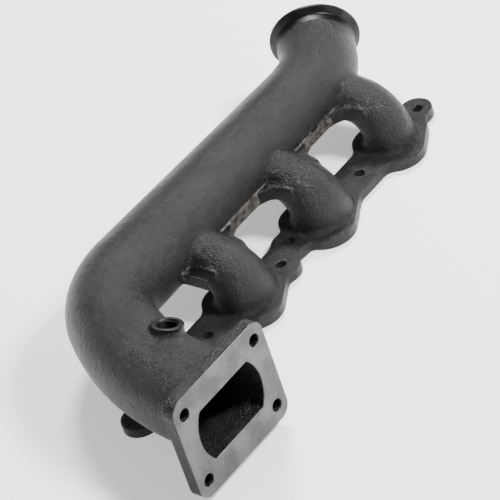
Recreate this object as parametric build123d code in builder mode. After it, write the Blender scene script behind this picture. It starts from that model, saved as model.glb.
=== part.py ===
"""Turbo exhaust manifold for a V8 cylinder bank, in millimetres.

The real manifold is one iron casting. Here each region that a pattern maker would cut as its own
block is a separate solid, and neighbours meet face to face, so the assembly fills exactly the space
of the casting and its gas passages run through every joint.

Frame: origin on the head gasket face, midway along the row of ports. +X runs along the engine to the
outlet, +Y from the ports towards the log, +Z away from the cylinder head.
"""

import os
from math import cos, radians, sin

from build123d import *

os.makedirs("parts", exist_ok=True)

# --- Driving dimensions -------------------------------------------------------------------------

PORT_PITCH = 111.76             # cylinder spacing of the bank, 4.4 in
PORT_X = [1.5 * PORT_PITCH, 0.5 * PORT_PITCH, -0.5 * PORT_PITCH, -1.5 * PORT_PITCH]
PORTS = [1, 2, 3, 4]            # port 1 is next to the outlet

# Head flange: a lobe round each port, necks between the lobes and an ear at each end
FLANGE_T = 9.5
LOBE_HALF = 34.5                # half width of a lobe on the log's side
LOBE_TOP = 36.5
LOBE_TOP_R = 24.0
LOBE_LOW_R = 25.0               # on the other side a lobe is a slot shape, tilted
LOBE_LOW_L = 24.0
LOBE_LOW_TILT = 30.0
LOBE_LOW_Y = -6.0
LOBE_DRIFT_X = 2.75             # each lobe's slot sits this much further from the outlet than the last
LOBE_DRIFT_Y = 1.75
NECK_LOW = -16.5
NECK_HIGH = 22.5
NECK_HALF = 40.0
BLEND_R = 8.0                   # radius in the outline's inner corners
BOLT_R = 4.5                    # clearance for an M8 stud
PAIR_X = 14.0                   # the two middle bolts sit either side of the centre
PAIR_Y = 5.8
PAIR_PAD_R = 17.0
PAIR_NECK_LOW = -10.7
PAIR_NECK_HIGH = 17.5
EAR_X = 205.0
EAR_Y = 2.5
NEAR_PAD = (205.0, 5.5)         # the ear at the outlet's end
NEAR_PAD_R = 15.5
FAR_PAD = (-214.5, -6.0)        # the longer ear at the turbo's end
FAR_PAD_R = 16.4
EAR_WEB = 37.0                  # how far an ear's web reaches back into the lobe
EAR_FLARE = 10.0                # how much further out the web is where it leaves the lobe

# Runners: an oval tube that bends through RUNNER_TURN and slims down towards the log
RUNNER_X = 28.0                 # half width along the engine, at the port
RUNNER_D = 27.0                 # half depth in the plane of the bend, at the port
RUNNER_LOG_X = 22.0
RUNNER_LOG_D = 21.0
RUNNER_WALL = 6.0
RUNNER_BEND = 33.0              # centreline radius of the bend
RUNNER_TURN = 80.0
RUNNER_STATIONS = 5
END_NARROW = 5.0                # the runner at the outlet's end is slimmer at its foot by this much
END_SHALLOW = 3.8
END_LOG_NARROW = 1.5
END_LEAN = 6.0                  # its foot sits this much nearer the middle of the row
END_LOG_LEAN = 2.0
END_LIFT = 1.5                  # and this much nearer the log

# Log: a slow taper, wider towards the turbo
LOG_Y = 69.2
LOG_Z = 57.0
LOG_R_OUTLET = 33.8
LOG_R_TURBO = 38.2
PIPE_WALL = 5.5

# Turbo flange, square to the ports' row, and the two-radius bend that leads to it
TURBO_X = -218.0
TURBO_FACE_Y = -125.0
TURBO_T = 12.7
TURBO_W = 117.0
TURBO_H = 100.0
TURBO_CORNER = 12.0
TURBO_BOLT_W = 92.1             # 3.625 in by 2.75 in between bolt centres
TURBO_BOLT_H = 69.9
TURBO_BOLT_R = 5.5
TURBO_PORT_W = 80.0
TURBO_PORT_H = 50.0
TURBO_PORT_EDGE_R = 4.0         # the port is a circle with two flats, and this radius where they meet
TURBO_PORT_R = 22.0             # corner radius of the neck's bore behind it
ELBOW_TURN = 55.0               # the elbow turns this far, and the neck the rest of a right angle
ELBOW_BEND = 71.0
NECK_W = 88.0                   # the neck where it meets the flange
NECK_H = 64.0
NECK_R = 31.9
NECK_SHIFT = 3.0                # its outside is off the port's centre by this much
NECK_BORE_W = 76.0              # its bore is a little narrower than the port, to keep the outer wall
NECK_BORE_SHIFT = 2.0
NECK_STATIONS = 5

# Outlet elbow and its V-band flange
OUTLET_START_X = 146.0
OUTLET_TURN = 42.0
OUTLET_RISE = 16.0              # degrees that the plane of the bend is tipped up from level
OUTLET_BEND = 60.0
OUTLET_R = 35.0
OUTLET_STRAIGHT = 14.0
VBAND_R = 40.5
VBAND_L = 14.0
VBAND_RIM = 3.0
VBAND_CONE = 3.4
VBAND_SEAT_R = 34.5             # the recess that centres the mating flange
VBAND_SEAT_DEPTH = 1.6

# Sensor boss
BOSS_R = 14.0
BOSS_TAP_R = 8.2                # bored for an M18 x 1.5 thread
BOSS_LEAN = 19.5                # degrees from vertical towards the outlet
BOSS_TOP = (-181.0, -41.0, 93.0)
BOSS_L = 40.0
BOSS_EDGE = 1.2

# Lands: the flat lips left on the log where the windows between the runners were dressed
LAND_FRONT_SHARE = 0.97         # how far out of the log's axis a land's front is, by log radius
LAND_LOW_SHARE = 0.555          # and how far below it the land's underside is
LAND_T = 13.0
LAND_REACH = 22.0               # a land starts this far from each port, inside the runner
LAND_WIDE_R = 26.0              # window corner on the turbo's side
LAND_TIGHT_R = 20.0             # and on the outlet's side
LAND_SMALL_R = 9.0              # the window beside the elbow has only this one rounded corner

# --- Where the bends begin and end ----------------------------------------------------------------

NECK_END_Y = TURBO_FACE_Y + TURBO_T
ELBOW_CENTRE_Y = LOG_Y - ELBOW_BEND
elbow_end_y = ELBOW_CENTRE_Y + ELBOW_BEND * cos(radians(ELBOW_TURN))
NECK_BEND = (elbow_end_y - NECK_END_Y) / cos(radians(ELBOW_TURN))
ELBOW_START_X = (
    TURBO_X
    + ELBOW_BEND * sin(radians(ELBOW_TURN))
    + NECK_BEND * (1 - sin(radians(ELBOW_TURN)))
)

outlet_bend_plane = Plane(
    origin=(OUTLET_START_X, LOG_Y, LOG_Z),
    x_dir=(1, 0, 0),
    z_dir=Vector(0, -sin(radians(OUTLET_RISE)), cos(radians(OUTLET_RISE))),
)
outlet_end = outlet_bend_plane.from_local_coords(
    Vector(
        OUTLET_BEND * sin(radians(OUTLET_TURN)),
        OUTLET_BEND * (1 - cos(radians(OUTLET_TURN))),
        0,
    )
)
outlet_ahead = outlet_bend_plane.from_local_coords(
    Vector(cos(radians(OUTLET_TURN)), sin(radians(OUTLET_TURN)), 0)
)
outlet_plane = Plane(origin=outlet_end, z_dir=outlet_ahead - outlet_bend_plane.origin)
vband_plane = outlet_plane.offset(OUTLET_STRAIGHT)

boss_plane = Plane(
    origin=BOSS_TOP,
    z_dir=Vector(sin(radians(BOSS_LEAN)), 0, cos(radians(BOSS_LEAN))),
)


def neck_plane(turn):
    """The section plane where the path from the log has turned by this many degrees past the elbow."""
    ahead = Vector(-cos(radians(turn)), -sin(radians(turn)), 0)
    at = Vector(
        TURBO_X + NECK_BEND * (1 - sin(radians(turn))),
        NECK_END_Y + NECK_BEND * cos(radians(turn)),
        LOG_Z,
    )
    return Plane(origin=at, x_dir=(-ahead.Y, ahead.X, 0), z_dir=ahead)


def between(start, end, share):
    return start + (end - start) * share


# --- Bodies that several regions share ------------------------------------------------------------


def runner_section(number, share, wall):
    """Centre, half width and half depth of a runner's section, from port (share 0) to log (share 1)."""
    slim = 1 if number == 1 else 0
    turn = radians(RUNNER_TURN * share)
    centre = Vector(
        PORT_X[number - 1] - slim * between(END_LEAN, END_LOG_LEAN, share),
        RUNNER_BEND * (1 - cos(turn)) + slim * END_LIFT * (1 - share),
        FLANGE_T + RUNNER_BEND * sin(turn),
    )
    half_width = between(RUNNER_X - slim * END_NARROW, RUNNER_LOG_X - slim * END_LOG_NARROW, share)
    half_depth = between(RUNNER_D - slim * END_SHALLOW, RUNNER_LOG_D, share)
    plane = Plane(origin=centre, x_dir=(1, 0, 0), z_dir=(0, sin(turn), cos(turn)))
    return plane, half_width - wall, half_depth - wall


def runner_body(number, wall):
    """The outside of a runner, or with a wall its passage."""
    with BuildPart() as body:
        for station in range(RUNNER_STATIONS):
            plane, half_width, half_depth = runner_section(
                number, station / (RUNNER_STATIONS - 1), wall
            )
            with BuildSketch(plane):
                Ellipse(half_width, half_depth)
        loft()
        with BuildSketch(plane):
            Ellipse(half_width, half_depth)
        extrude(amount=LOG_Y - plane.origin.Y)
    return body.part


def log_body(wall):
    """The straight run of the log, solid."""
    with BuildPart() as body:
        with BuildSketch(Plane.YZ.offset(ELBOW_START_X)):
            with Locations((LOG_Y, LOG_Z)):
                Circle(LOG_R_TURBO - wall)
        with BuildSketch(Plane.YZ.offset(OUTLET_START_X)):
            with Locations((LOG_Y, LOG_Z)):
                Circle(LOG_R_OUTLET - wall)
        loft(ruled=True)
    return body.part


def elbow_body(wall):
    """The tight bend out of the log, towards the turbo."""
    with BuildPart() as body:
        with BuildSketch(Plane.YZ.offset(ELBOW_START_X)):
            with Locations((LOG_Y, LOG_Z)):
                Circle(LOG_R_TURBO - wall)
        revolve(
            axis=Axis((ELBOW_START_X, ELBOW_CENTRE_Y, 0), (0, 0, 1)),
            revolution_arc=ELBOW_TURN,
        )
    return body.part


def neck_body(wall, end_w, end_h, end_r, shift):
    """The slow bend that changes from round to the turbo flange's oblong."""
    round_side = 2 * (LOG_R_TURBO - wall)
    with BuildPart() as body:
        for station in range(NECK_STATIONS):
            share = station / (NECK_STATIONS - 1)
            with BuildSketch(neck_plane(between(ELBOW_TURN, 90, share))):
                with Locations((shift * share, 0)):
                    RectangleRounded(
                        between(round_side, end_w, share),
                        between(round_side, end_h, share),
                        between(round_side / 2 - 0.1, end_r, share),
                    )
        loft()
    return body.part


def outlet_body(wall):
    """The bend at the far end of the log and the short straight that carries the V-band flange."""
    with BuildPart() as body:
        with BuildSketch(Plane.YZ.offset(OUTLET_START_X)):
            with Locations((LOG_Y, LOG_Z)):
                Circle(OUTLET_R - wall)
        pivot = outlet_bend_plane.from_local_coords(Vector(0, OUTLET_BEND, 0))
        revolve(axis=Axis(pivot, outlet_bend_plane.z_dir), revolution_arc=OUTLET_TURN)
        with BuildSketch(outlet_plane):
            Circle(OUTLET_R - wall)
        extrude(amount=OUTLET_STRAIGHT)
    return body.part


def boss_body(radius):
    """A round bar from the boss's top face down into the neck."""
    with BuildPart() as body:
        with BuildSketch(boss_plane):
            Circle(radius)
        extrude(amount=-BOSS_L)
    return body.part


runner_outer = [runner_body(number, 0) for number in PORTS]
runner_inner = [runner_body(number, RUNNER_WALL) for number in PORTS]
log_outer = log_body(0)
elbow_outer = elbow_body(0)
neck_outer = neck_body(0, NECK_W, NECK_H, NECK_R, NECK_SHIFT)
outlet_outer = outlet_body(0)
main_pipe = [log_outer, elbow_outer, neck_outer, outlet_outer]
tap = boss_body(BOSS_TAP_R)


def save(piece, name):
    piece.part.label = name
    export_step(piece.part, f"parts/{name}.step")


# --- Head flange ------------------------------------------------------------------------------------


with BuildPart() as head_flange:
    with BuildSketch():
        with Locations(*[(x, 0) for x in PORT_X]):
            RectangleRounded(2 * LOBE_HALF, 2 * LOBE_TOP, LOBE_TOP_R)
        with Locations((0, -LOBE_TOP)):
            Rectangle(5 * PORT_PITCH, 2 * LOBE_TOP, mode=Mode.SUBTRACT)
        for number, x in zip(PORTS, PORT_X):
            drift = number - 2
            with Locations((x + drift * LOBE_DRIFT_X, LOBE_LOW_Y - drift * LOBE_DRIFT_Y)):
                SlotCenterToCenter(LOBE_LOW_L, 2 * LOBE_LOW_R, rotation=LOBE_LOW_TILT)
        with Locations(
            (-PORT_PITCH, (NECK_LOW + NECK_HIGH) / 2), (PORT_PITCH, (NECK_LOW + NECK_HIGH) / 2)
        ):
            Rectangle(2 * NECK_HALF, NECK_HIGH - NECK_LOW)
        with Locations((PAIR_X, PAIR_Y), (-PAIR_X, -PAIR_Y)):
            Circle(PAIR_PAD_R)
        with Locations((0, (PAIR_NECK_LOW + PAIR_NECK_HIGH) / 2)):
            Rectangle(2 * NECK_HALF, PAIR_NECK_HIGH - PAIR_NECK_LOW)
        for (x, y), pad_r in ((NEAR_PAD, NEAR_PAD_R), (FAR_PAD, FAR_PAD_R)):
            side = 1 if x > 0 else -1
            with BuildLine():
                Polyline(
                    (x - side * EAR_WEB, y + pad_r + EAR_FLARE),
                    (x, y + pad_r),
                    (x, y - pad_r),
                    (x - side * EAR_WEB, y - pad_r),
                    close=True,
                )
            make_face()
            with Locations((x, y)):
                Circle(pad_r)
        offset(amount=BLEND_R, kind=Kind.ARC)
        offset(amount=-BLEND_R, kind=Kind.ARC)
        for number in PORTS:
            plane, half_width, half_depth = runner_section(number, 0, RUNNER_WALL)
            with Locations((plane.origin.X, plane.origin.Y)):
                Ellipse(half_width, half_depth, mode=Mode.SUBTRACT)
        with Locations(
            (PORT_PITCH, 0),
            (-PORT_PITCH, 0),
            (PAIR_X, PAIR_Y),
            (-PAIR_X, -PAIR_Y),
            (EAR_X, EAR_Y),
            (-EAR_X, -EAR_Y),
        ):
            Circle(BOLT_R, mode=Mode.SUBTRACT)
    extrude(amount=FLANGE_T)
save(head_flange, "head_flange")

# --- Runners ------------------------------------------------------------------------------------------

for number, (outer, passage) in enumerate(zip(runner_outer, runner_inner), start=1):
    with BuildPart() as runner:
        add(outer)
        add(passage, mode=Mode.SUBTRACT)
        for pipe in main_pipe:
            add(pipe, mode=Mode.SUBTRACT)
    save(runner, f"runner_{number}")

# --- Log, bends and neck -----------------------------------------------------------------------------

with BuildPart() as collector_log:
    add(log_outer)
    add(log_body(PIPE_WALL), mode=Mode.SUBTRACT)
    for passage in runner_inner:
        add(passage, mode=Mode.SUBTRACT)
save(collector_log, "collector_log")

with BuildPart() as turbo_elbow:
    add(elbow_outer)
    add(elbow_body(PIPE_WALL), mode=Mode.SUBTRACT)
    add(runner_inner[3], mode=Mode.SUBTRACT)
save(turbo_elbow, "turbo_elbow")

with BuildPart() as turbo_neck:
    add(neck_outer)
    bore = neck_body(PIPE_WALL, NECK_BORE_W, TURBO_PORT_H, TURBO_PORT_R, NECK_BORE_SHIFT)
    add(bore, mode=Mode.SUBTRACT)
    add(runner_inner[3], mode=Mode.SUBTRACT)
    add(tap, mode=Mode.SUBTRACT)
save(turbo_neck, "turbo_neck")

with BuildPart() as outlet_elbow:
    add(outlet_outer)
    add(outlet_body(PIPE_WALL), mode=Mode.SUBTRACT)
    add(runner_inner[0], mode=Mode.SUBTRACT)
save(outlet_elbow, "outlet_elbow")

# --- Sensor boss ----------------------------------------------------------------------------------------

with BuildPart() as sensor_boss:
    add(boss_body(BOSS_R))
    chamfer(sensor_boss.faces().sort_by(Axis.Z)[-1].edges(), BOSS_EDGE)
    add(tap, mode=Mode.SUBTRACT)
    add(neck_outer, mode=Mode.SUBTRACT)
save(sensor_boss, "sensor_boss")

# --- Window lands -----------------------------------------------------------------------------------------


def log_radius(x):
    return between(LOG_R_TURBO, LOG_R_OUTLET, (x - ELBOW_START_X) / (OUTLET_START_X - ELBOW_START_X))


for number in range(3):
    right = PORT_X[number] - LAND_REACH
    left = PORT_X[number + 1] + LAND_REACH if number < 2 else right - LAND_SMALL_R
    middle = (left + right) / 2
    tight_r = LAND_TIGHT_R if number < 2 else LAND_SMALL_R - 0.1
    front = LOG_Y - LAND_FRONT_SHARE * log_radius(middle)
    low_plane = Plane.XY.offset(LOG_Z - LAND_LOW_SHARE * log_radius(middle))
    with BuildPart() as land:
        with BuildSketch(low_plane):
            with Locations((middle, LOG_Y / 2)):
                Rectangle(right - left, LOG_Y)
            with BuildSketch(low_plane, mode=Mode.PRIVATE) as window:
                with Locations((middle, front - LOG_Y)):
                    Rectangle(right - left, 2 * LOG_Y)
                fillet(window.vertices().group_by(Axis.Y)[-1].sort_by(Axis.X)[-1], tight_r)
                if number < 2:
                    fillet(window.vertices().group_by(Axis.Y)[-1].sort_by(Axis.X)[0], LAND_WIDE_R)
            add(window.sketch, mode=Mode.SUBTRACT)
        extrude(amount=LAND_T)
        for taken in [*main_pipe, runner_outer[number], runner_outer[number + 1]]:
            add(taken, mode=Mode.SUBTRACT)
    save(land, f"window_land_{number + 1}{number + 2}")

# --- Turbo flange ---------------------------------------------------------------------------------------

with BuildSketch() as port_outline:
    Circle(TURBO_PORT_W / 2)
    Rectangle(TURBO_PORT_W, TURBO_PORT_H, mode=Mode.INTERSECT)
    fillet(port_outline.vertices(), TURBO_PORT_EDGE_R)

with BuildPart() as turbo_flange:
    with BuildSketch(Plane.XZ.offset(-NECK_END_Y)):
        with Locations((TURBO_X, LOG_Z)):
            RectangleRounded(TURBO_W, TURBO_H, TURBO_CORNER)
            add(port_outline.sketch, mode=Mode.SUBTRACT)
            with GridLocations(TURBO_BOLT_W, TURBO_BOLT_H, 2, 2):
                Circle(TURBO_BOLT_R, mode=Mode.SUBTRACT)
    extrude(amount=TURBO_T)
save(turbo_flange, "turbo_flange")

# --- Outlet V-band flange ---------------------------------------------------------------------------------

profile_plane = Plane(origin=vband_plane.origin, x_dir=vband_plane.x_dir, z_dir=-vband_plane.y_dir)
with BuildPart() as outlet_flange:
    with BuildSketch(profile_plane):
        with BuildLine():
            Polyline(
                (OUTLET_R - PIPE_WALL, 0),
                (OUTLET_R, 0),
                (OUTLET_R, VBAND_L - VBAND_RIM - VBAND_CONE),
                (VBAND_R, VBAND_L - VBAND_RIM),
                (VBAND_R, VBAND_L),
                (VBAND_SEAT_R, VBAND_L),
                (VBAND_SEAT_R, VBAND_L - VBAND_SEAT_DEPTH),
                (OUTLET_R - PIPE_WALL, VBAND_L - VBAND_SEAT_DEPTH),
                close=True,
            )
        make_face()
    revolve(axis=Axis(vband_plane.origin, vband_plane.z_dir))
save(outlet_flange, "outlet_flange")
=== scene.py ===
# %% [markdown]
# # A cast-iron turbo exhaust manifold
# The real manifold is a single sand casting: four short runners rise from a flat head flange, turn
# over and empty into a fat log, which bends round to a thick oblong turbo flange at one end and ends
# in a turned V-band flange at the other. A casting has no crisp joints. Every meeting of two walls is
# a soft radius. So this scene models the casting as one blended skin and only then parts it into the
# regions that have names. The machined faces are made separately, because they are crisp.
#
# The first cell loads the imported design. It is the frame for everything here: metres, +X to the outlet,
# +Y from the ports to the log, +Z away from the head.

import math

import bpy
import numpy as np
from mathutils import Matrix, Vector
from mathutils.geometry import delaunay_2d_cdt


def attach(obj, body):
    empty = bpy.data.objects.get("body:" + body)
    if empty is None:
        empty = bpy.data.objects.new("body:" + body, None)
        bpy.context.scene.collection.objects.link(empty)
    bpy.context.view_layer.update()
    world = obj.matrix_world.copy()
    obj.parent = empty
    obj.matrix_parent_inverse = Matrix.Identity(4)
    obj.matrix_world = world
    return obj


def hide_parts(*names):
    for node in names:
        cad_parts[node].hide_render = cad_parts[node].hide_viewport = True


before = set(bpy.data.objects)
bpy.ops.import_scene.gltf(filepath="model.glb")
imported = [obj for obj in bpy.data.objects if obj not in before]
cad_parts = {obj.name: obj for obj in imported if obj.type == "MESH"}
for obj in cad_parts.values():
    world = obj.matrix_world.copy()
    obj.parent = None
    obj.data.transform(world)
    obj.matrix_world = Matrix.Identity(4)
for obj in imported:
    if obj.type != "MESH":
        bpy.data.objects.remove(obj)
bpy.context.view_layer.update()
MM = 0.001

# %% [markdown]
# ## The casting's own numbers
# They repeat the design's driving dimensions in millimetres. A skin built from distances needs only
# the centre lines and radii of the tubes, so the list is short.

# %% Dimensions
PITCH = 111.76
PORT_X = [1.5 * PITCH, 0.5 * PITCH, -0.5 * PITCH, -1.5 * PITCH]
FLANGE_T = 9.5
LOG_Y, LOG_Z = 69.2, 57.0
LOG_R_OUTLET, LOG_R_TURBO = 33.8, 38.2
PIPE_WALL, RUNNER_WALL = 5.5, 6.0
RUNNER_BEND, RUNNER_TURN = 33.0, math.radians(80)
TURBO_X, TURBO_FACE_Y, TURBO_T = -218.0, -125.0, 12.7
TURBO_W, TURBO_H, TURBO_CORNER = 117.0, 100.0, 12.0
ELBOW_TURN, ELBOW_BEND = math.radians(55), 71.0
NECK_END_Y = TURBO_FACE_Y + TURBO_T
ELBOW_Y = LOG_Y - ELBOW_BEND
NECK_BEND = (ELBOW_Y + ELBOW_BEND * math.cos(ELBOW_TURN) - NECK_END_Y) / math.cos(ELBOW_TURN)
ELBOW_X = TURBO_X + ELBOW_BEND * math.sin(ELBOW_TURN) + NECK_BEND * (1 - math.sin(ELBOW_TURN))
OUTLET_X, OUTLET_TURN, OUTLET_RISE = 146.0, math.radians(42), math.radians(16)
OUTLET_BEND, OUTLET_R, OUTLET_STRAIGHT = 60.0, 35.0, 14.0
BOSS_TOP = np.array([-181.0, -41.0, 93.0])
BOSS_LEAN, BOSS_R, TAP_R, BOSS_CROWN = math.radians(19.5), 14.0, 8.2, 9.0
BOLTS = [(PITCH, 0), (-PITCH, 0), (14.0, 5.8), (-14.0, -5.8), (205.0, 2.5), (-205.0, -2.5)]
BOLT_R = 4.5
print("elbow starts at x", round(ELBOW_X, 1), "mm; the neck's bend radius is", round(NECK_BEND, 1))

# %% [markdown]
# ## Shapes as distances
# Cast fillets are hard to model with bevels, because tubes of different sizes meet at odd angles.
# A distance field makes them easily: each tube is a function that says how far a point is from its
# wall, negative inside, and a smooth minimum of two such functions is the two tubes with a soft
# radius in the corner between them.

# %% Small distance helpers
def mix(a, b, share):
    return a + (b - a) * share


def soft_min(a, b, radius):
    h = np.clip(0.5 + 0.5 * (b - a) / radius, 0, 1)
    return mix(b, a, h) - radius * h * (1 - h)


def length(*parts):
    return np.sqrt(sum(p * p for p in parts))


def round_box(u, v, half_u, half_v, corner):
    a = np.abs(u) - (half_u - corner)
    b = np.abs(v) - (half_v - corner)
    return length(np.maximum(a, 0), np.maximum(b, 0)) + np.minimum(np.maximum(a, b), 0) - corner


def slot_shape(x, y, cx, cy, half_length, tilt, radius):
    u = (x - cx) * math.cos(tilt) + (y - cy) * math.sin(tilt)
    v = (y - cy) * math.cos(tilt) - (x - cx) * math.sin(tilt)
    return length(u - np.clip(u, -half_length, half_length), v) - radius


def slab(outline, depth, edge):
    """A flat outline made as thick as depth says, with a rounded rim."""
    a, b = outline + edge, depth + edge
    return np.minimum(np.maximum(a, b), 0) + length(np.maximum(a, 0), np.maximum(b, 0)) - edge


print("corner check of a round box:", round(float(round_box(np.array(30.0), 30.0, 20, 20, 5)), 2))

# %% [markdown]
# ## The main pipe
# The log is a slow cone. It runs on into a tight elbow and a long neck that changes from round to the
# turbo flange's oblong, and at its other end into the outlet bend. Each stretch finds the nearest
# point of its own centre line and measures from there. A wall value shrinks the pipe to its bore.

# %% The four stretches of the main pipe
def log_shape(x, y, z, wall):
    along = np.clip(x, ELBOW_X, OUTLET_X)
    radius = mix(LOG_R_TURBO, LOG_R_OUTLET, (along - ELBOW_X) / (OUTLET_X - ELBOW_X))
    return length(x - along, y - LOG_Y, z - LOG_Z) - radius + wall


def elbow_shape(x, y, z, wall):
    turn = np.clip(np.arctan2(ELBOW_X - x, y - ELBOW_Y), 0, ELBOW_TURN)
    cx, cy = ELBOW_X - ELBOW_BEND * np.sin(turn), ELBOW_Y + ELBOW_BEND * np.cos(turn)
    return length(x - cx, y - cy, z - LOG_Z) - LOG_R_TURBO + wall


NECK_OUTSIDE = (88.0, 64.0, 31.9, 3.0)
NECK_BORE = (76.0, 50.0, 22.0, 2.0)


def neck_shape(x, y, z, wall, end):
    width, height, corner, shift = end
    centre_x = TURBO_X + NECK_BEND
    ahead = np.maximum(y - NECK_END_Y, 0)
    turn = np.arctan2(centre_x - x, ahead)
    share = np.clip((turn - ELBOW_TURN) / (math.pi / 2 - ELBOW_TURN), 0, 1)
    side = NECK_BEND - length(x - centre_x, ahead)
    start = 2 * (LOG_R_TURBO - wall)
    section = round_box(
        side - shift * share,
        z - LOG_Z,
        mix(start, width, share) / 2,
        mix(start, height, share) / 2,
        mix(start / 2 - 0.1, corner, share),
    )
    return np.maximum(section, (ELBOW_TURN - turn) * NECK_BEND)


def outlet_local(x, y, z):
    """Along, sideways and up in the tipped plane of the outlet's bend."""
    rise_y, rise_z = math.cos(OUTLET_RISE), math.sin(OUTLET_RISE)
    side, up = y - LOG_Y, z - LOG_Z
    return x - OUTLET_X, side * rise_y + up * rise_z, up * rise_y - side * rise_z


def outlet_shape(x, y, z, wall):
    a, b, c = outlet_local(x, y, z)
    turn = np.clip(np.arctan2(a, OUTLET_BEND - b), 0, OUTLET_TURN)
    bend = length(a - OUTLET_BEND * np.sin(turn), b - OUTLET_BEND * (1 - np.cos(turn)), c)
    ahead = np.array([math.cos(OUTLET_TURN), math.sin(OUTLET_TURN)])
    from_a = a - OUTLET_BEND * math.sin(OUTLET_TURN)
    from_b = b - OUTLET_BEND * (1 - math.cos(OUTLET_TURN))
    past = np.maximum(from_a * ahead[0] + from_b * ahead[1], 0)
    straight = length(from_a - past * ahead[0], from_b - past * ahead[1], c)
    return np.minimum(bend, straight) - OUTLET_R + wall


print("main pipe at the middle of the log:", round(float(log_shape(0.0, LOG_Y, LOG_Z, 0)), 2), "mm inside")

# %% [markdown]
# ## Runners
# A runner is an oval tube that bends through 80 degrees and slims towards the log. The one beside
# the outlet is slimmer at its foot and leans towards the middle of the row.

# %% Runner shape
def runner_shape(x, y, z, port, wall):
    slim = 1 if port == 0 else 0
    turn = np.clip(np.arctan2(z - FLANGE_T, RUNNER_BEND - y), 0, RUNNER_TURN)
    share = turn / RUNNER_TURN
    lift = slim * 1.5 * (1 - share)
    out = (RUNNER_BEND - y + lift) * np.cos(turn) + (z - FLANGE_T) * np.sin(turn) - RUNNER_BEND
    side = x - (PORT_X[port] - slim * mix(6.0, 2.0, share))
    half_width = mix(28.0 - slim * 5.0, 22.0 - slim * 1.5, share) - wall
    half_depth = mix(27.0 - slim * 3.8, 21.0, share) - wall
    k0 = length(side / half_width, out / half_depth)
    k1 = np.maximum(length(side / half_width**2, out / half_depth**2), 1e-5)
    return np.maximum(k0 * (k0 - 1) / k1, y - LOG_Y)


print("runner 2 at its port's middle:", round(float(runner_shape(PORT_X[1], 0.0, 0.0, 1, 0)), 1))

# %% [markdown]
# ## Head flange
# A lobe round each port, necks between the lobes that carry one stud each, a pair of pads in the
# middle and an ear at each end. The gasket side is ground flat, so it is cut off square later.

# %% Head flange outline
def ear_shape(x, y, cx, cy, radius):
    side = 1 if cx > 0 else -1
    along = (x - cx) * side
    flare = 10.0 / 37.0
    web = np.maximum(
        np.maximum(along, -37.0 - along),
        np.maximum((y - cy - radius + flare * along) / math.hypot(1, flare), cy - radius - y),
    )
    return np.minimum(length(x - cx, y - cy) - radius, web)


def flange_outline(x, y):
    shape = None
    for number, port_x in enumerate(PORT_X):
        drift = number - 1
        low = slot_shape(x, y, port_x + drift * 2.75, -6.0 - drift * 1.75, 12.0, math.radians(30), 25.0)
        high = np.maximum(round_box(x - port_x, y, 34.5, 36.5, 24.0), -y)
        lobe = soft_min(low, high, 2.0)
        shape = lobe if shape is None else np.minimum(shape, lobe)
    for middle in (-PITCH, PITCH):
        shape = soft_min(shape, round_box(x - middle, y - 3.0, 40.0, 19.5, 1.0), 7.0)
    pads = np.minimum(length(x - 14.0, y - 5.8), length(x + 14.0, y + 5.8)) - 17.0
    pads = soft_min(pads, round_box(x, y - 3.4, 40.0, 14.1, 1.0), 5.0)
    shape = soft_min(shape, pads, 7.0)
    shape = soft_min(shape, ear_shape(x, y, 205.0, 5.5, 15.5), 4.0)
    return soft_min(shape, ear_shape(x, y, -214.5, -6.0, 16.4), 4.0)


print("flange edge beyond the near ear:", round(float(flange_outline(np.array(230.0), 5.5)), 2), "mm")

# %% [markdown]
# ## Window lands
# The mould leaves a thin web of iron between the log and the runners. It is dressed away to open the
# windows, which leaves a flat strip along the log and a thick rounded corner beside each runner.

# %% Land shapes
LAND_FRONT, LAND_LOW = 0.97, 0.555  # its front and underside, by the log's radius
LAND_T, LAND_EDGE = 13.0, 1.2
LAND_REACH, LAND_STUB = 22.0, 9.0
OPEN_CORNERS, SMALL_CORNERS = (20.0, 26.0), (8.9, 0.1)  # a window's corner radii, right and left


def log_radius(x):
    return mix(LOG_R_TURBO, LOG_R_OUTLET, (x - ELBOW_X) / (OUTLET_X - ELBOW_X))


def land_shape(x, y, z, window):
    right = PORT_X[window] - LAND_REACH
    left = PORT_X[window + 1] + LAND_REACH if window < 2 else right - LAND_STUB
    tight, wide = OPEN_CORNERS if window < 2 else SMALL_CORNERS
    radius = log_radius((left + right) / 2)
    front, low = LOG_Y - LAND_FRONT * radius, LOG_Z - LAND_LOW * radius
    middle, half = (left + right) / 2, (right - left) / 2
    corner = np.where(x > middle, tight, wide)
    hole = round_box(x - middle, y - (front - LOG_Y), half, LOG_Y, corner)
    plate = slab(-hole, np.abs(z - low - LAND_T / 2) - LAND_T / 2, LAND_EDGE)
    ends = np.maximum(np.abs(x - middle) - half - 1.0, front - 27.0 - y)
    return np.maximum(np.maximum(plate, ends), y - LOG_Y)


print("land 1 reaches", round(LOG_Y - LAND_FRONT * log_radius(PITCH), 1), "mm from the ports' centres")

# %% [markdown]
# ## The whole casting
# Everything solid is joined with soft corners, then everything hollow is taken away. The turbo
# flange takes part only for the fillet that it leaves on the neck.

# %% Casting
def boss_shape(x, y, z):
    lean = (math.sin(BOSS_LEAN), math.cos(BOSS_LEAN))
    up = (x - BOSS_TOP[0]) * lean[0] + (z - BOSS_TOP[2]) * lean[1]
    out = length(x - BOSS_TOP[0] - up * lean[0], y - BOSS_TOP[1], z - BOSS_TOP[2] - up * lean[1])
    return up, out


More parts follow.
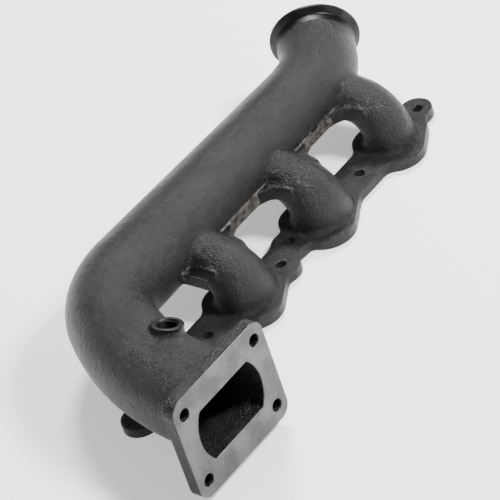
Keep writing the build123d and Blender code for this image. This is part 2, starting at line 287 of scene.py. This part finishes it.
def solid_shape(x, y, z):
    pipe = np.minimum(log_shape(x, y, z, 0), elbow_shape(x, y, z, 0))
    pipe = np.minimum(pipe, neck_shape(x, y, z, 0, NECK_OUTSIDE))
    pipe = np.minimum(pipe, outlet_shape(x, y, z, 0))
    for window in range(3):
        pipe = soft_min(pipe, land_shape(x, y, z, window), 2.5)
    flange = slab(flange_outline(x, y), np.maximum(z - FLANGE_T, -12.0 - z), 1.3)
    for port in range(4):
        runner = runner_shape(x, y, z, port, 0)
        pipe = soft_min(pipe, runner, 4.5)
    up, out = boss_shape(x, y, z)
    boss = slab(out - BOSS_R, np.maximum(up, -30.0 - up), 1.0)
    pipe = soft_min(pipe, boss, 3.5)
    plate = round_box(x - TURBO_X, z - LOG_Z, TURBO_W / 2, TURBO_H / 2, TURBO_CORNER)
    plate = np.maximum(plate, np.maximum(y - NECK_END_Y, TURBO_FACE_Y - y))
    pipe = soft_min(pipe, plate, 9.0)
    return soft_min(pipe, flange, 5.0)


def hollow_shape(x, y, z):
    bore = np.minimum(log_shape(x, y, z, PIPE_WALL), elbow_shape(x, y, z, PIPE_WALL))
    bore = np.minimum(bore, neck_shape(x, y, z, PIPE_WALL, NECK_BORE))
    bore = np.minimum(bore, outlet_shape(x, y, z, PIPE_WALL))
    for port in range(4):
        bore = soft_min(bore, runner_shape(x, y, z, port, RUNNER_WALL), 4.0)
    for bolt_x, bolt_y in BOLTS:
        hole = length(x - bolt_x, y - bolt_y) - BOLT_R
        bore = np.minimum(bore, np.maximum(hole, z - 24.0))
    up, out = boss_shape(x, y, z)
    return np.minimum(bore, np.maximum(out - TAP_R, -36.0 - up))


SPARE = 6.0  # the casting runs this far past each machined face until it is cut


def casting(x, y, z):
    a, b, _ = outlet_local(x, y, z)
    past = (a - OUTLET_BEND * math.sin(OUTLET_TURN)) * math.cos(OUTLET_TURN)
    past = past + (b - OUTLET_BEND * (1 - math.cos(OUTLET_TURN))) * math.sin(OUTLET_TURN)
    ends = np.maximum(np.maximum(-SPARE - z, NECK_END_Y - SPARE - y), past - OUTLET_STRAIGHT - SPARE)
    return np.maximum(np.maximum(solid_shape(x, y, z), -hollow_shape(x, y, z)), ends)


print("wall of the log at its crown:", round(float(casting(0.0, LOG_Y, LOG_Z + log_radius(0.0) - 2.0)), 2))

# %% [markdown]
# ## From distances to a mesh
# The field is sampled on a grid. Wherever it changes sign inside a cell, the cell gets one vertex,
# and neighbouring cells join into quads. That is the surface-nets method. It gives an even mesh with
# no slivers. A few steps along the slope of the field then put each vertex exactly on the wall.

# %% Surface nets
STEP = 1.8


def net(field, low, high, step):
    """Vertices and quads of the zero surface of a field over a box."""
    axes = [np.arange(a, b + step, step) for a, b in zip(low, high)]
    x, y, z = np.meshgrid(*axes, indexing="ij", sparse=True)
    value = np.broadcast_to(field(x, y, z), [len(a) for a in axes])
    inside = value < 0
    cells = tuple(n - 1 for n in value.shape)
    count = np.zeros(cells, np.int32)
    total = np.zeros((3, *cells), np.float32)
    crossings = []
    for axis in range(3):
        near = [slice(None)] * 3
        far = [slice(None)] * 3
        near[axis], far[axis] = slice(None, -1), slice(1, None)
        a, b = value[tuple(near)], value[tuple(far)]
        crossed = inside[tuple(near)] != inside[tuple(far)]
        share = np.where(crossed, a / np.where(crossed, a - b, 1), 0)
        others = [k for k in range(3) if k != axis]
        for i in (0, 1):
            for j in (0, 1):
                pick = [slice(None)] * 3
                for k, off in zip(others, (i, j)):
                    pick[k] = slice(off, off + cells[k])
                here = crossed[tuple(pick)]
                count += here
                total[axis] += np.where(here, share[tuple(pick)], 0)
                total[others[0]] += here * i
                total[others[1]] += here * j
        crossings.append((axis, others, crossed, inside[tuple(near)]))
    used = count > 0
    index = np.full(cells, -1, np.int64)
    index[used] = np.arange(used.sum())
    where = np.argwhere(used)
    points = where + (total[:, used] / count[used]).T
    points = np.array(low) + points * step
    quads = []
    for axis, (p, q), crossed, starts_inside in crossings:
        at = np.argwhere(crossed)
        at = at[(at[:, p] > 0) & (at[:, q] > 0) & (at[:, p] < cells[p]) & (at[:, q] < cells[q])]
        corner = []
        for i, j in ((1, 1), (0, 1), (0, 0), (1, 0)):
            spot = at.copy()
            spot[:, p] -= i
            spot[:, q] -= j
            corner.append(index[tuple(spot.T)])
        face = np.stack(corner, 1)
        flip = starts_inside[tuple(at.T)] != (axis == 1)
        face[~flip] = face[~flip][:, ::-1]
        quads.append(face)
    return points, np.concatenate(quads)


def slope(field, points, reach=0.05):
    columns = []
    for axis in range(3):
        shift = np.zeros(3)
        shift[axis] = reach
        columns.append((field(*(points + shift).T) - field(*(points - shift).T)) / (2 * reach))
    return np.stack(columns, 1)


def settle(field, points, step, rounds=3):
    """Moves points onto the zero surface, never further than half a cell at a time."""
    for _ in range(rounds):
        grade = slope(field, points)
        move = -field(*points.T)[:, None] * grade / np.maximum((grade**2).sum(1), 0.2)[:, None]
        far = np.maximum(np.linalg.norm(move, axis=1), 1e-9)[:, None]
        points = points + move * np.minimum(1, 0.5 * step / far)
    return points


points, quads = net(casting, (-280, -121, -8.7), (228, 128, 110), STEP)
points = settle(casting, points, STEP)
print("casting:", len(points), "vertices,", len(quads), "faces")

# %% [markdown]
# ## Parting the casting
# The skin is one closed mesh. Blocks with flat sides cut it into its regions, and each cut leaves two
# closed pieces with the same edge, so no seam shows. A cut can leave a flat face with a hole in it, which
# isn't a proper face, so every cut mesh is turned into triangles.

# %% Mesh and cutting helpers
def add_object(name, vertices, faces):
    """A mesh object from points in metres."""
    mesh = bpy.data.meshes.new(name)
    mesh.from_pydata(vertices, [], faces)
    thing = bpy.data.objects.new(name, mesh)
    bpy.context.scene.collection.objects.link(thing)
    return thing


def block(low, high, place=None):
    """A cutting block, square to the axes of place."""
    (x0, y0, z0), (x1, y1, z1) = low, high
    corners = [Vector((x, y, z)) * MM for x in (x0, x1) for y in (y0, y1) for z in (z0, z1)]
    if place is not None:
        corners = [place @ c for c in corners]
    sides = [(0, 1, 3, 2), (4, 6, 7, 5), (0, 4, 5, 1), (2, 3, 7, 6), (0, 2, 6, 4), (1, 5, 7, 3)]
    return add_object("block", corners, sides)


def prism(radius, low, high, place, count=120):
    """A round cutting tool along the place's Z axis."""
    angles = [2 * math.pi * k / count for k in range(count)]
    corners = [
        place @ (Vector((radius * math.cos(a), radius * math.sin(a), z)) * MM)
        for z in (low, high)
        for a in angles
    ]
    sides = [(k, (k + 1) % count, count + (k + 1) % count, count + k) for k in range(count)]
    sides += [tuple(range(count))[::-1], tuple(range(count, 2 * count))]
    return add_object("prism", corners, sides)


def in_triangles(mesh):
    """The same closed surface in triangles."""
    mesh.calc_loop_triangles()
    count = len(mesh.loop_triangles)
    corners = np.empty(3 * count, np.int32)
    mesh.loop_triangles.foreach_get("vertices", corners)
    places = np.empty(3 * len(mesh.vertices))
    mesh.vertices.foreach_get("co", places)
    made = bpy.data.meshes.new(mesh.name)
    made.vertices.add(len(mesh.vertices))
    made.vertices.foreach_set("co", places)
    made.loops.add(3 * count)
    made.loops.foreach_set("vertex_index", corners)
    made.polygons.add(count)
    made.polygons.foreach_set("loop_start", np.arange(0, 3 * count, 3, dtype=np.int32))
    made.update(calc_edges=True)
    bpy.data.meshes.remove(mesh)
    return made


def cut(thing, tool, operation):
    """A new mesh: what the tool leaves of thing, or what both share."""
    modifier = thing.modifiers.new("cut", "BOOLEAN")
    modifier.operation, modifier.object, modifier.solver = operation, tool, "MANIFOLD"
    seen = bpy.context.evaluated_depsgraph_get()
    mesh = bpy.data.meshes.new_from_object(thing.evaluated_get(seen))
    thing.modifiers.remove(modifier)
    return in_triangles(mesh)


def part_off(thing, name, *tools):
    """Cuts the shared volume of thing and the blocks away as a new object."""
    piece = thing.copy()
    piece.data = thing.data.copy()
    piece.name = name
    bpy.context.scene.collection.objects.link(piece)
    for tool in tools:
        piece.data = cut(piece, tool, "INTERSECT")
    thing.data = cut(thing, piece, "DIFFERENCE")
    for tool in tools:
        bpy.data.objects.remove(tool)
    piece.data.name = name
    return piece


FAR = 400.0  # past every side of the casting
whole = add_object("casting", (points * MM).tolist(), np.asarray(quads).tolist())
below_gasket = ((-FAR, -FAR, -FAR), (FAR, FAR, 0))
past_neck = ((-FAR, -FAR, -FAR), (FAR, NECK_END_Y, FAR))
for low, high in (below_gasket, past_neck):
    spare = block(low, high)
    whole.data = cut(whole, spare, "DIFFERENCE")
    bpy.data.objects.remove(spare)
print("casting cut to its faces:", len(whole.data.vertices), "vertices")

# %% [markdown]
# Each region is cut along a flat that its neighbours meet in the design, or as close to it as a flat
# can be. The order matters only in that small regions leave before the large ones around them.

# %% Part the regions
rise = Matrix.Rotation(OUTLET_RISE, 4, "X")
outlet_place = Matrix.Translation(Vector((OUTLET_X, LOG_Y, LOG_Z)) * MM) @ rise
outlet_end = outlet_place @ Matrix.Translation(
    Vector((OUTLET_BEND * math.sin(OUTLET_TURN), OUTLET_BEND * (1 - math.cos(OUTLET_TURN)), 0)) * MM
) @ Matrix.Rotation(OUTLET_TURN, 4, "Z")
vband_place = outlet_end @ Matrix.Translation((OUTLET_STRAIGHT * MM, 0, 0))
spare = block((0, -60, -60), (60, 60, 60), vband_place)
whole.data = cut(whole, spare, "DIFFERENCE")
bpy.data.objects.remove(spare)

boss_place = Matrix.Translation(Vector(BOSS_TOP) * MM) @ Matrix.Rotation(BOSS_LEAN, 4, "Y")
elbow_place = Matrix.Translation(Vector((ELBOW_X, ELBOW_Y, 0)) * MM) @ Matrix.Rotation(ELBOW_TURN, 4, "Z")

regions = {}
regions["head_flange"] = part_off(whole, "head_flange", block((-FAR, -FAR, -1), (FAR, FAR, 11.0)))
regions["runner_4"] = part_off(whole, "runner_4", block((-205, -60, 5), (-130, 38, 22.0)))
for port in range(3):
    front = LOG_Y - log_radius(PORT_X[port]) - 1.0
    reach = (PORT_X[port] - 49.0, PORT_X[port] + 50.0)
    regions[f"runner_{port + 1}"] = part_off(
        whole, f"runner_{port + 1}", block((reach[0], -60, 5), (reach[1], front, 90))
    )
for window in range(3):
    right = PORT_X[window] - 22.5
    left = PORT_X[window + 1] + 22.5 if window < 2 else right - 12.0
    radius = log_radius((left + right) / 2)
    front, low = LOG_Y - LAND_FRONT * radius, LOG_Z - LAND_LOW * radius
    name = f"window_land_{window + 1}{window + 2}"
    regions[name] = part_off(
        whole, name, block((left, front - 22, low - 1.5), (right, front + 2.0, low + 15.0))
    )
rough_crown = part_off(whole, "rough_crown", prism(BOSS_R, -BOSS_CROWN, 6.0, boss_place))
bpy.data.objects.remove(rough_crown)  # a turned one takes its place
regions["outlet_elbow"] = part_off(whole, "outlet_elbow", block((OUTLET_X, -20, 5), (FAR, FAR, 200)))
regions["collector_log"] = part_off(whole, "collector_log", block((ELBOW_X, 0, 5), (OUTLET_X + 9, FAR, 200)))
regions["turbo_elbow"] = part_off(
    whole,
    "turbo_elbow",
    block((-FAR, -20, 5), (0, FAR, 200)),
    block((-1, -10, 5), (FAR, FAR, 200), elbow_place),
)
regions["turbo_neck"] = whole
whole.name = whole.data.name = "turbo_neck"
for name, piece in regions.items():
    print(name, len(piece.data.vertices), "vertices")

# %% [markdown]
# The parted pieces take their shading from the field, wherever a face really lies on the skin. On a
# cut or drilled face the face's own direction is right.

# %% Shading normals
def shade_from_field(piece):
    mesh = piece.data
    mesh.validate()
    mesh.polygons.foreach_set("use_smooth", [True] * len(mesh.polygons))
    co = np.empty(len(mesh.vertices) * 3)
    mesh.vertices.foreach_get("co", co)
    grade = slope(casting, co.reshape(-1, 3) / MM)
    grade /= np.maximum(np.linalg.norm(grade, axis=1), 1e-9)[:, None]
    corner = np.empty(len(mesh.loops), np.int32)
    mesh.loops.foreach_get("vertex_index", corner)
    own = np.empty(len(mesh.polygons) * 3)
    mesh.polygons.foreach_get("normal", own)
    sides = np.empty(len(mesh.polygons), np.int32)
    mesh.polygons.foreach_get("loop_total", sides)
    own = np.repeat(own.reshape(-1, 3), sides, axis=0)
    field = grade[corner]
    agree = (own * field).sum(1) > 0.55
    mesh.normals_split_custom_set(np.where(agree[:, None], field, own).tolist())
    return round(float(agree.mean()), 3)


for name, piece in regions.items():
    print(name, "corners on the skin:", shade_from_field(piece))

# %% [markdown]
# ## Turbo flange
# A thick oblong plate, ground on its face, with four plain holes and a port that is a circle with two
# flats. The ground face
# has a small bevel at every edge, which is what catches the light. It is built as rings of points
# round each outline, bridged to the next ring, with the two flats filled between the rings.

# %% Ring helpers
def box_ring(half_u, half_v, corner, per_corner=14):
    """Points round a rounded rectangle, anticlockwise."""
    ring = []
    for k, (su, sv) in enumerate(((1, 1), (-1, 1), (-1, -1), (1, -1))):
        for step in range(per_corner + 1):
            angle = math.pi / 2 * (k + step / per_corner)
            u = su * (half_u - corner) + corner * math.cos(angle)
            v = sv * (half_v - corner) + corner * math.sin(angle)
            ring.append((u, v))
    return ring


def circle_ring(cu, cv, radius, count=48):
    return [
        (cu + radius * math.cos(2 * math.pi * k / count), cv + radius * math.sin(2 * math.pi * k / count))
        for k in range(count)
    ]


def plate(name, outline, holes, levels, place):
    """A plate from outline(grow) and holes(grow): levels are (depth, outer growth, hole growth)."""
    vertices, faces, stacks = [], [], []
    for shape, outer in [(outline, True)] + [(hole, False) for hole in holes]:
        rings = []
        for depth, grow_out, grow_hole in levels:
            ring = shape(grow_out if outer else grow_hole)
            rings.append(range(len(vertices), len(vertices) + len(ring)))
            vertices += [(u, v, depth) for u, v in ring]
        for a, b in zip(rings, rings[1:]):
            n = len(a)
            for k in range(n):
                quad = (a[k], a[(k + 1) % n], b[(k + 1) % n], b[k])
                faces.append(quad if outer else quad[::-1])
        stacks.append((rings[0], rings[-1]))
    for end in (0, 1):
        loops = [stack[end] for stack in stacks]
        ids = [i for loop in loops for i in loop]
        spots = [Vector(vertices[i][:2]) for i in ids]
        start, edges = 0, []
        for loop in loops:
            n = len(loop)
            edges += [(start + k, start + (k + 1) % n) for k in range(n)]
            start += n
        _, _, found, _, _, _ = delaunay_2d_cdt(spots, edges, [], 1, 1e-7)
        for tri in found:
            centre = sum((spots[i] for i in tri), Vector((0, 0))) / 3
            if any(inside_ring(centre, [vertices[i][:2] for i in loop]) for loop in loops[1:]):
                continue
            tri = [ids[i] for i in tri]
            a, b, c = (Vector(vertices[i][:2]) for i in tri)
            up = (b - a).cross(c - a) > 0
            faces.append(tri if up == (end == 1) else tri[::-1])
    return add_object(name, [place @ (Vector(v) * MM) for v in vertices], faces)


def inside_ring(spot, ring):
    inside = False
    for (x0, y0), (x1, y1) in zip(ring, ring[1:] + ring[:1]):
        if (y0 > spot.y) != (y1 > spot.y) and spot.x < (x1 - x0) * (spot.y - y0) / (y1 - y0) + x0:
            inside = not inside
    return inside


print("a corner of the flange outline:", box_ring(TURBO_W / 2, TURBO_H / 2, TURBO_CORNER)[0])

# %% Turbo flange
turbo_centre = Vector((TURBO_X, NECK_END_Y, LOG_Z)) * MM
turbo_place = Matrix.Translation(turbo_centre) @ Matrix.Rotation(math.pi / 2, 4, "X")
turbo_levels = [
    (0.0, -1.4, 0.0), (0.3, -0.6, 0.0), (1.2, 0.0, 0.0),
    (TURBO_T - 0.7, 0.0, 0.0), (TURBO_T - 0.25, -0.12, 0.25), (TURBO_T, -0.55, 0.7),
]
def port_ring(grow, per_arc=16):
    """A circle with two flats, and a small radius where they meet."""
    end_x = math.sqrt(36.0**2 - 21.0**2)
    turn = math.atan2(21.0, end_x)
    quarter = [
        ((40.0 + grow) * math.cos(turn * k / per_arc), (40.0 + grow) * math.sin(turn * k / per_arc))
        for k in range(per_arc + 1)
    ]
    for k in range(1, 9):
        angle = mix(turn, math.pi / 2, k / 8)
        quarter.append((end_x + (4.0 + grow) * math.cos(angle), 21.0 + (4.0 + grow) * math.sin(angle)))
    left = [(-u, v) for u, v in reversed(quarter)]
    top = quarter + left
    return top + [(u, -v) for u, v in reversed(top[1:-1])]


turbo_holes = [port_ring]
for su in (-1, 1):
    for sv in (-1, 1):
        turbo_holes.append(lambda grow, u=su * 46.05, v=sv * 34.95: circle_ring(u, v, 5.5 + grow))
turbo_flange = plate(
    "turbo_flange",
    lambda grow: box_ring(TURBO_W / 2 + grow, TURBO_H / 2 + grow, TURBO_CORNER + grow),
    turbo_holes, turbo_levels, turbo_place,
)
print("turbo flange:", len(turbo_flange.data.polygons), "faces")

# %% [markdown]
# ## Outlet V-band flange
# It is turned, so it is a profile spun round the outlet's axis: a thin rim with a sloped back for the
# clamp and a shallow recess that centres the mating flange.

# %% Outlet flange
def spin(name, profile, place, count=160):
    """A closed profile of (distance out, distance along) spun round the place's X axis."""
    vertices, faces, n = [], [], len(profile)
    for k in range(count):
        angle = 2 * math.pi * k / count
        across, up = math.cos(angle), math.sin(angle)
        vertices += [place @ (Vector((along, out * across, out * up)) * MM) for out, along in profile]
    for k in range(count):
        for i in range(n):
            a, b = k * n + i, k * n + (i + 1) % n
            c, d = ((k + 1) % count) * n + (i + 1) % n, ((k + 1) % count) * n + i
            faces.append((a, d, c, b))
    return add_object(name, vertices, faces)


outlet_profile = [
    (29.5, 0), (35.0, 0), (35.0, 7.2), (35.4, 8.0), (40.1, 11.0), (40.45, 11.3), (40.5, 11.6), (40.5, 13.5),
    (40.3, 13.85), (39.9, 14.0), (35.2, 14.0), (34.8, 13.8), (34.5, 13.4), (34.5, 12.7), (34.2, 12.4),
    (30.4, 12.4),
    (29.8, 12.1), (29.5, 11.5),
]
outlet_flange = spin("outlet_flange", outlet_profile, vband_place)
print("outlet flange:", len(outlet_flange.data.polygons), "faces")

# %% [markdown]
# The boss's crown is turned too: a faced top with a chamfer, and the thread inside it as ridges.

# %% Sensor boss
crown = [(TAP_R, -BOSS_CROWN), (BOSS_R, -BOSS_CROWN), (BOSS_R, -1.4), (13.7, -0.7), (13.1, -0.2), (12.3, 0.0)]
crown += [(10.4, 0.0), (10.1, -0.1), (9.2, -1.0)]
for ridge in range(5):
    down = -1.2 - 1.5 * ridge
    crown += [(9.1, down), (9.1, down - 0.2), (TAP_R, down - 0.75), (TAP_R, down - 0.95)]
crown_place = boss_place @ Matrix.Rotation(-math.pi / 2, 4, "Y")
sensor_boss = spin("sensor_boss", crown, crown_place, 120)
print("sensor boss:", len(sensor_boss.data.polygons), "faces")

# %% [markdown]
# ## Materials
# Sand-cast iron is near black with a sandy grain: the grain is real relief, so it goes to a bump, and the
# tops of the grains are painted a little lighter, as painted glints. The ground face is mid grey with
# blotches from the grinding and dark specks of porosity.
#
# Sums on shader sockets are easier to read as Python sums, so a small class wraps a socket.

# %% Node maths
class Wire:
    """A socket's value in a material, that sums and products can be written with."""

    def __init__(self, tree, socket):
        self.tree, self.socket = tree, socket

    def _math(self, operation, a, b):
        node = self.tree.nodes.new("ShaderNodeMath")
        node.operation = operation
        for slot_index, value in enumerate((a, b)):
            if isinstance(value, Wire):
                self.tree.links.new(value.socket, node.inputs[slot_index])
            else:
                node.inputs[slot_index].default_value = value
        return Wire(self.tree, node.outputs[0])

    def __add__(self, other):
        return self._math("ADD", self, other)

    def __radd__(self, other):
        return self._math("ADD", other, self)

    def __sub__(self, other):
        return self._math("SUBTRACT", self, other)

    def __rsub__(self, other):
        return self._math("SUBTRACT", other, self)

    def __mul__(self, other):
        return self._math("MULTIPLY", self, other)

    def __rmul__(self, other):
        return self._math("MULTIPLY", other, self)

    def between(self, low, high):
        """0 below low, 1 above high."""
        node = self.tree.nodes.new("ShaderNodeMapRange")
        node.interpolation_type = "SMOOTHSTEP"
        self.tree.links.new(self.socket, node.inputs["Value"])
        node.inputs["From Min"].default_value, node.inputs["From Max"].default_value = low, high
        return Wire(self.tree, node.outputs["Result"])


class Finish:
    """A material and its node tree."""

    def __init__(self, name):
        self.material = bpy.data.materials.new(name)
        self.material.use_nodes = True
        self.tree = self.material.node_tree
        self.shader = self.tree.nodes["Principled BSDF"]

    def node(self, kind, settings=None, **sockets):
        made = self.tree.nodes.new(kind)
        for key, value in (settings or {}).items():
            setattr(made, key, value)
        for key, value in sockets.items():
            self.feed(made.inputs[key.replace("_", " ")], value)
        return made

    def feed(self, socket, value):
        if isinstance(value, Wire):
            self.tree.links.new(value.socket, socket)
        else:
            socket.default_value = value

    def wire(self, made, output=0):
        return Wire(self.tree, made.outputs[output])

    def noise(self, scale, detail, roughness, where):
        made = self.node("ShaderNodeTexNoise", Scale=scale, Detail=detail, Roughness=roughness, Vector=where)
        return self.wire(made)

    def place(self):
        return self.wire(self.node("ShaderNodeTexCoord"), "Object")

    def blend(self, share, first, second):
        made = self.node("ShaderNodeMix", {"data_type": "RGBA"})
        self.feed(made.inputs[0], share)
        self.feed(made.inputs[6], first)
        self.feed(made.inputs[7], second)
        return self.wire(made, 2)

    def bump(self, height, distance, strength):
        return self.wire(self.node("ShaderNodeBump", Strength=strength, Distance=distance, Height=height))

    def surface(self, **sockets):
        for key, value in sockets.items():
            self.feed(self.shader.inputs[key.replace("_", " ")], value)
        return self.material


print("node helpers ready")

# %% Cast iron
def cast_iron():
    finish = Finish("cast_iron")
    where = finish.place()
    grain = finish.noise(680.0, 2.5, 0.6, where)
    fine = finish.noise(1500.0, 2.0, 0.6, where)
    lumps = finish.noise(140.0, 2.0, 0.5, where)
    broad = finish.noise(24.0, 3.0, 0.5, where)
    height = grain * 0.8 + fine * 0.2 + lumps * 0.9
    # The tops of the grains, where a painted glint goes: a lighter colour, and a little less roughness.
    painted_glint = (grain * 0.65 + fine * 0.35).between(0.5, 0.66)
    stain = broad.between(0.42, 0.62)
    dark = finish.blend(stain, (0.0045, 0.0043, 0.0043, 1), (0.0095, 0.0088, 0.0085, 1))
    # Painted glints: the grain tops are painted a lighter colour.
    colour = finish.blend(painted_glint * 0.5, dark, (0.035, 0.033, 0.032, 1))
    rough = 0.32 - painted_glint * 0.05 + stain * 0.08
    return finish.surface(
        Base_Color=colour, Metallic=0.0, Specular_IOR_Level=0.3, Roughness=rough,
        Normal=finish.bump(height, 0.0019, 1.0),
    )


def ground_iron():
    finish = Finish("ground_iron")
    where = finish.place()
    blotch = finish.noise(38.0, 4.0, 0.6, where)
    speck = finish.noise(620.0, 2.0, 0.5, where)
    fine = finish.noise(1500.0, 2.0, 0.6, where)
    tone = finish.blend(blotch.between(0.35, 0.65), (0.085, 0.083, 0.08, 1), (0.15, 0.147, 0.142, 1))
    colour = finish.blend(speck.between(0.62, 0.72) * 0.6, tone, (0.06, 0.058, 0.055, 1))
    return finish.surface(
        Base_Color=colour, Metallic=0.85, Roughness=0.42 + fine * 0.12,
        Normal=finish.bump(fine * 0.5 + speck * 0.5, 0.00018, 0.6),
    )


def turned_iron():
    finish = Finish("turned_iron")
    where = finish.place()
    fine = finish.noise(1400.0, 2.0, 0.6, where)
    broad = finish.noise(60.0, 3.0, 0.5, where)
    colour = finish.blend(broad.between(0.4, 0.62), (0.012, 0.0115, 0.0115, 1), (0.026, 0.025, 0.0245, 1))
    return finish.surface(
        Base_Color=colour, Metallic=0.85, Roughness=0.36 + fine * 0.1,
        Normal=finish.bump(fine, 0.0002, 0.5),
    )


def dressed_iron():
    finish = Finish("dressed_iron")
    where = finish.place()
    fine = finish.noise(1200.0, 2.0, 0.6, where)
    patch = finish.noise(220.0, 3.0, 0.6, where)
    colour = finish.blend(patch.between(0.38, 0.62), (0.02, 0.018, 0.016, 1), (0.085, 0.075, 0.066, 1))
    return finish.surface(
        Base_Color=colour, Metallic=0.2, Specular_IOR_Level=0.4, Roughness=0.4 + fine * 0.15,
        Normal=finish.bump(patch * 0.7 + fine * 0.3, 0.0008, 0.8),
    )


skin, ground, turned, dressed = cast_iron(), ground_iron(), turned_iron(), dressed_iron()
print("materials:", skin.name, ground.name, turned.name, dressed.name)

# %% [markdown]
# The flange plate has two finishes: its face and the bevel round it are ground, and its sides and the
# walls of its holes are as cast. They are separate material slots, set face by face. The lands were
# dressed with a grinder, so they are a little lighter and browner than the skin round them.

# %% Dress the pieces
for name, piece in regions.items():
    piece.data.materials.clear()
    piece.data.materials.append(skin)
turbo_flange.data.materials.append(ground)
turbo_flange.data.materials.append(skin)
face_at = (TURBO_FACE_Y + 1.0) * MM
for polygon in turbo_flange.data.polygons:
    polygon.material_index = 0 if polygon.center.y < face_at else 1
outlet_flange.data.materials.append(turned)
sensor_boss.data.materials.append(turned)
for name, piece in regions.items():
    if name.startswith("window_land"):
        piece.data.materials[0] = dressed


def smooth_by_angle(thing, degrees):
    thing.data.polygons.foreach_set("use_smooth", [True] * len(thing.data.polygons))
    thing.data.set_sharp_from_angle(angle=math.radians(degrees))


smooth_by_angle(turbo_flange, 20)
smooth_by_angle(outlet_flange, 25)
smooth_by_angle(sensor_boss, 30)
for name, piece in regions.items():
    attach(piece, "root")
    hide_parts(name)
machined = (
    (turbo_flange, "turbo_flange_iron"),
    (outlet_flange, "outlet_flange_iron"),
    (sensor_boss, "cast_skin"),
)
for piece, slot_name in machined:
    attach(piece, "root")
    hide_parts(piece.name.split(".")[0])
print("pieces:", len(regions) + 3)

# %% [markdown]
# ## Stage
# The floor is plain and pale, and glows a little so that shadows stay soft. Two small bright lamps on
# the right, one in front and one behind, draw highlights along the crowns. A wide weak lamp on the left
# keeps the dark flanks readable.

# %% Floor, lights and camera
FLOOR_HALF, FLOOR_Z = 6.0, -0.0005
floor_signs = ((-1, -1), (1, -1), (1, 1), (-1, 1))
floor_corners = [(side_x * FLOOR_HALF, side_y * FLOOR_HALF, FLOOR_Z) for side_x, side_y in floor_signs]
floor = add_object("floor", floor_corners, [(0, 1, 2, 3)])
floor_finish = Finish("pale_floor")
floor_finish.surface(
    Base_Color=(0.93, 0.93, 0.93, 1), Roughness=0.9, Emission_Color=(1, 1, 1, 1), Emission_Strength=0.5
)
floor.data.materials.append(floor_finish.material)


def soft_light(name, spot, aim, size, watts):
    lamp = bpy.data.lights.new(name, "AREA")
    lamp.shape, lamp.size, lamp.size_y, lamp.energy = "RECTANGLE", size[0], size[1], watts
    thing = bpy.data.objects.new(name, lamp)
    thing.location = spot
    thing.rotation_euler = (Vector(aim) - Vector(spot)).to_track_quat("-Z", "Y").to_euler()
    bpy.context.scene.collection.objects.link(thing)


soft_light("key", (0.5, -1.0, 1.3), (-0.1, 0, 0.05), (0.32, 0.32), 62)
soft_light("high", (0.9, 0.6, 1.35), (0, 0, 0.05), (0.4, 0.25), 50)
soft_light("fill", (-1.6, 0.6, 1.2), (-0.1, 0, 0.05), (0.8, 0.8), 8)

world = bpy.data.worlds.new("studio")
bpy.context.scene.world = world
world.use_nodes = True
world.node_tree.nodes["Background"].inputs["Color"].default_value = (1, 1, 1, 1)
world.node_tree.nodes["Background"].inputs["Strength"].default_value = 0.3

CAMERA_SPOT = Vector((-1.5864, -1.7902, 1.7877))
CAMERA_RIGHT = Vector((0.5843, -0.7663, -0.2671))
CAMERA_UP = Vector((0.6173, 0.2060, 0.7593))
CAMERA_BACK = Vector((-0.5269, -0.6085, 0.5934))
lens = bpy.data.cameras.new("camera")
lens.lens, lens.sensor_width = 252.0, 36.0
lens.clip_start, lens.clip_end = 0.1, 20.0
camera = bpy.data.objects.new("camera", lens)
bpy.context.scene.collection.objects.link(camera)
turn = Matrix((CAMERA_RIGHT, CAMERA_UP, CAMERA_BACK)).transposed()
camera.matrix_world = Matrix.Translation(CAMERA_SPOT) @ turn.to_4x4()
bpy.context.scene.camera = camera
